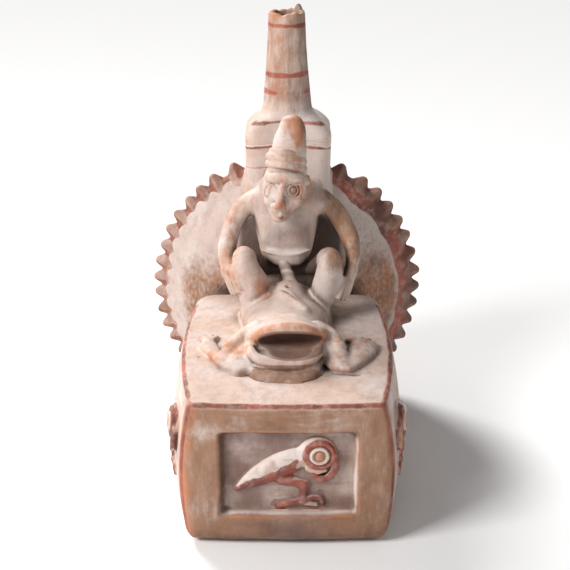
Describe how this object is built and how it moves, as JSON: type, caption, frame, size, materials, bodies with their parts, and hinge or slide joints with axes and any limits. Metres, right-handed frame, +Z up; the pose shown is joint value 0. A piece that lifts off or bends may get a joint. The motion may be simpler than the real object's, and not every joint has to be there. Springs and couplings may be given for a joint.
{
  "type": "sculptural clay bottle",
  "caption": "Fired clay bottle: box plinth, upright spiny shell, square tower with a tall spout, and a seated figure behind a toad on the deck.",
  "frame": {"origin": "on the ground, under the middle of the bottle's whole outline", "axes": "+Z up along the spout, -Y out of the front panel with the framed bird, +X to the viewer's right"},
  "size_m": [0.1555, 0.194, 0.2293],
  "materials": {
    "cream_slip": "burnished matte slip, worn",
    "buff_clay": "matte, smoke stained",
    "pink_slip": "matte slip",
    "orange_slip": "burnished matte slip",
    "red_slip": "matte red iron slip"
  },
  "bodies": {
    "root": {"plinth_base": "buff_clay", "plinth_deck": "cream_slip", "plinth_front_panel": "buff_clay", "plinth_left_panel": "cream_slip", "plinth_rear_panel": "buff_clay", "plinth_right_panel": "cream_slip", "shell_front_valve": "pink_slip", "shell_rear_valve": "pink_slip", "shell_rim_band": "red_slip", "passage_collar": "buff_clay", "tower_shoulder": "cream_slip", "tower_wall": "cream_slip", "spout": "cream_slip", "front_bird": "red_slip", "left_bird": "red_slip", "right_bird": "red_slip", "toad_body": "cream_slip", "toad_left_limb": "orange_slip", "toad_lower_jaw": "pink_slip", "toad_right_limb": "orange_slip", "figure_cap": "orange_slip", "figure_head": "cream_slip", "figure_headband": "cream_slip", "figure_hem": "cream_slip", "figure_left_arm": "orange_slip", "figure_left_leg": "cream_slip", "figure_right_arm": "orange_slip", "figure_right_leg": "cream_slip", "figure_torso": "pink_slip", "clay_post": "cream_slip", "spike_left_01": "red_slip", "spike_left_02": "red_slip", "spike_left_03": "red_slip", "spike_left_04": "red_slip", "spike_left_05": "red_slip", "spike_left_06": "red_slip", "spike_left_07": "red_slip", "spike_left_08": "red_slip", "spike_left_09": "red_slip", "spike_left_10": "red_slip", "spike_left_11": "red_slip", "spike_left_12": "red_slip", "spike_left_13": "red_slip", "spike_left_14": "red_slip", "spike_left_15": "red_slip", "spike_right_01": "red_slip", "spike_right_02": "red_slip", "spike_right_03": "red_slip", "spike_right_04": "red_slip", "spike_right_05": "red_slip", "spike_right_06": "red_slip", "spike_right_07": "red_slip", "spike_right_08": "red_slip", "spike_right_09": "red_slip", "spike_right_10": "red_slip", "spike_right_11": "red_slip", "spike_right_12": "red_slip", "spike_right_13": "red_slip", "spike_right_14": "red_slip", "spike_right_15": "red_slip"}
  },
  "joints": []
}
